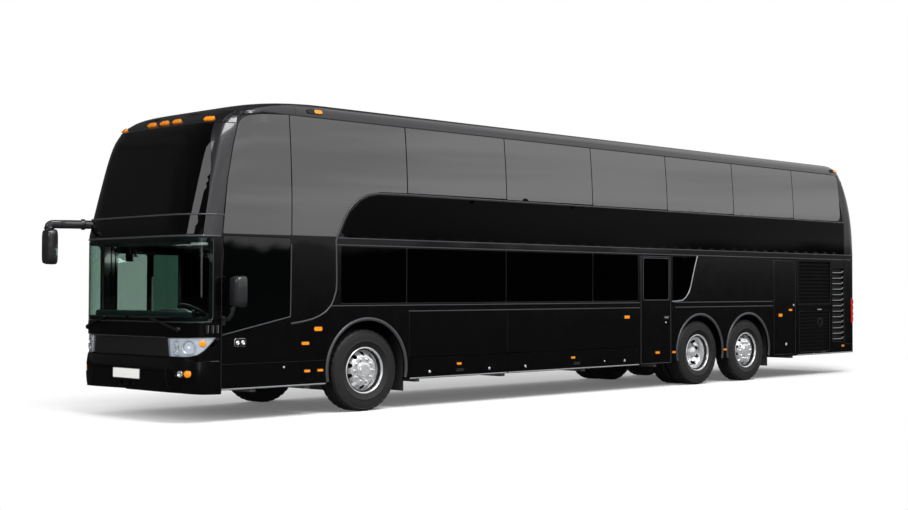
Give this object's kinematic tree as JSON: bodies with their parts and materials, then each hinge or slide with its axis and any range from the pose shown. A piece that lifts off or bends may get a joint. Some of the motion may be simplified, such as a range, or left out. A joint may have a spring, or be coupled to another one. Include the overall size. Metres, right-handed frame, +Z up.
{
  "type": "double-deck coach bus",
  "caption": "Black double-deck touring coach with tinted glass, polished wheels, side and rear doors, luggage flaps and steered front wheels.",
  "frame": {"origin": "on the ground, below the middle of the box round the whole vehicle with its mirrors", "axes": "+X to the vehicle's left, -Y ahead, +Z up; the tyres stand on Z = 0"},
  "size_m": [3.14, 14.85, 3.93],
  "materials": {
    "body_paint": "gloss",
    "frame_steel": "satin",
    "glass_dark": "polished",
    "glass_clear": "polished",
    "tyre_rubber": "matte",
    "wheel_aluminium": "polished",
    "trim_satin": "satin",
    "black_plastic": "satin",
    "lamp_clear": "polished",
    "lamp_red": "gloss",
    "lamp_amber": "gloss",
    "interior_plastic": "matte",
    "seat_fabric": "woven",
    "chrome": "polished",
    "mirror_glass": "polished",
    "floor_vinyl": "matte",
    "plate_white": "satin",
    "engine_iron": "cast"
  },
  "bodies": {
    "body": {"front_frame": "frame_steel", "rear_frame": "frame_steel", "towing_eyes": "frame_steel", "wheel_housings": "black_plastic", "lower_floor": "floor_vinyl", "luggage_box": "floor_vinyl", "stairs": "floor_vinyl", "upper_floor": "floor_vinyl", "left_side_wall": "body_paint", "right_side_wall": "body_paint", "roof_shell": "body_paint", "front_shell": "body_paint", "rear_shell": "body_paint", "front_bumper": "body_paint", "engine_block": "engine_iron", "upper_windscreen": "glass_dark", "lower_windscreen": "glass_clear", "upper_windows": "glass_dark", "lower_windows": "glass_dark", "left_mirror": "body_paint", "right_mirror": "body_paint", "wipers": "black_plastic", "headlamps": "lamp_clear", "tail_lamps": "lamp_red", "dashboard": "interior_plastic", "seats": "seat_fabric", "front_axle": "frame_steel", "drive_axle": "frame_steel", "tag_axle": "frame_steel"},
    "steering_wheel": {"steering_wheel": "interior_plastic"},
    "left_knuckle": {"left_knuckle": "frame_steel"},
    "right_knuckle": {"right_knuckle": "frame_steel"},
    "emergency_door": {"emergency_door": "body_paint"},
    "left_luggage_door": {"left_luggage_door": "body_paint"},
    "right_luggage_door": {"right_luggage_door": "body_paint"},
    "engine_door": {"engine_door": "body_paint"},
    "radiator_door": {"radiator_door": "body_paint"},
    "left_front_flap": {"left_front_flap": "body_paint"},
    "left_rear_flap": {"left_rear_flap": "body_paint"},
    "right_front_flap": {"right_front_flap": "body_paint"},
    "right_rear_flap": {"right_rear_flap": "body_paint"},
    "entry_door_arm": {"entry_door_arm": "frame_steel"},
    "entry_door": {"entry_door": "body_paint"},
    "front_left_wheel": {"front_left_tyre": "tyre_rubber", "front_left_rim": "wheel_aluminium"},
    "front_right_wheel": {"front_right_tyre": "tyre_rubber", "front_right_rim": "wheel_aluminium"},
    "drive_left_wheel": {"drive_left_tyres": "tyre_rubber", "drive_left_rim": "wheel_aluminium"},
    "drive_right_wheel": {"drive_right_tyres": "tyre_rubber", "drive_right_rim": "wheel_aluminium"},
    "tag_left_wheel": {"tag_left_tyre": "tyre_rubber", "tag_left_rim": "wheel_aluminium"},
    "tag_right_wheel": {"tag_right_tyre": "tyre_rubber", "tag_right_rim": "wheel_aluminium"}
  },
  "joints": [
    {"name": "left_steer", "type": "hinge", "parent": "body", "child": "left_knuckle", "pos_m": [0.9675, -4.425, 0.53], "axis": [0, 0, 1], "range_deg": [-45, 45]},
    {"name": "right_steer", "type": "hinge", "parent": "body", "child": "right_knuckle", "pos_m": [-0.9675, -4.425, 0.53], "axis": [0, 0, 1], "range_deg": [-45, 45]},
    {"name": "steering_wheel_turn", "type": "hinge", "parent": "body", "child": "steering_wheel", "pos_m": [0.62, -6.545, 1.29], "axis": [0, 0.5, 0.866], "range_deg": [-810, 810]},
    {"name": "front_left_roll", "type": "hinge", "parent": "left_knuckle", "child": "front_left_wheel", "pos_m": [1.0975, -4.425, 0.53], "axis": [1, 0, 0], "continuous": true},
    {"name": "front_right_roll", "type": "hinge", "parent": "right_knuckle", "child": "front_right_wheel", "pos_m": [-1.0975, -4.425, 0.53], "axis": [1, 0, 0], "continuous": true},
    {"name": "drive_left_roll", "type": "hinge", "parent": "body", "child": "drive_left_wheel", "pos_m": [1.0975, 2.575, 0.53], "axis": [1, 0, 0], "continuous": true},
    {"name": "drive_right_roll", "type": "hinge", "parent": "body", "child": "drive_right_wheel", "pos_m": [-1.0975, 2.575, 0.53], "axis": [1, 0, 0], "continuous": true},
    {"name": "tag_left_roll", "type": "hinge", "parent": "body", "child": "tag_left_wheel", "pos_m": [1.0975, 3.935, 0.53], "axis": [1, 0, 0], "continuous": true},
    {"name": "tag_right_roll", "type": "hinge", "parent": "body", "child": "tag_right_wheel", "pos_m": [-1.0975, 3.935, 0.53], "axis": [1, 0, 0], "continuous": true},
    {"name": "emergency_door_swing", "type": "hinge", "parent": "body", "child": "emergency_door", "pos_m": [1.287, 1.053, 1.2], "axis": [0, 0, -1], "range_deg": [0, 90]},
    {"name": "left_luggage_door_swing", "type": "hinge", "parent": "body", "child": "left_luggage_door", "pos_m": [1.287, 4.693, 1.2], "axis": [0, 0, -1], "range_deg": [0, 100]},
    {"name": "right_luggage_door_swing", "type": "hinge", "parent": "body", "child": "right_luggage_door", "pos_m": [-1.287, 4.693, 1.2], "axis": [0, 0, 1], "range_deg": [0, 100]},
    {"name": "engine_door_lift", "type": "hinge", "parent": "body", "child": "engine_door", "pos_m": [0, 7.417, 1.882], "axis": [1, 0, 0], "range_deg": [0, 80]},
    {"name": "radiator_door_lift", "type": "hinge", "parent": "body", "child": "radiator_door", "pos_m": [1.287, 6.005, 1.232], "axis": [0, -1, 0], "range_deg": [0, 90]},
    {"name": "left_front_flap_lift", "type": "hinge", "parent": "body", "child": "left_front_flap", "pos_m": [1.287, -2.81, 0.657], "axis": [0, -1, 0], "range_deg": [0, 100]},
    {"name": "right_front_flap_lift", "type": "hinge", "parent": "body", "child": "right_front_flap", "pos_m": [-1.287, -2.81, 0.657], "axis": [0, 1, 0], "range_deg": [0, 100]},
    {"name": "left_rear_flap_lift", "type": "hinge", "parent": "body", "child": "left_rear_flap", "pos_m": [1.287, -0.44, 0.657], "axis": [0, -1, 0], "range_deg": [0, 100]},
    {"name": "right_rear_flap_lift", "type": "hinge", "parent": "body", "child": "right_rear_flap", "pos_m": [-1.287, -0.44, 0.657], "axis": [0, 1, 0], "range_deg": [0, 100]},
    {"name": "entry_arm_swing", "type": "hinge", "parent": "body", "child": "entry_door_arm", "pos_m": [-1.125, -5.695, 1.2], "axis": [0, 0, -1], "range_deg": [0, 120]},
    {"name": "entry_door_turn", "type": "hinge", "parent": "entry_door_arm", "child": "entry_door", "pos_m": [-1.06399, -6.39234, 1.2], "axis": [0, 0, -1], "range_deg": [-120, 0]}
  ],
  "couplings": [
    {"joint": "right_steer", "follows": "left_steer", "ratio": 1},
    {"joint": "steering_wheel_turn", "follows": "left_steer", "ratio": 18},
    {"joint": "entry_door_turn", "follows": "entry_arm_swing", "ratio": -1}
  ]
}
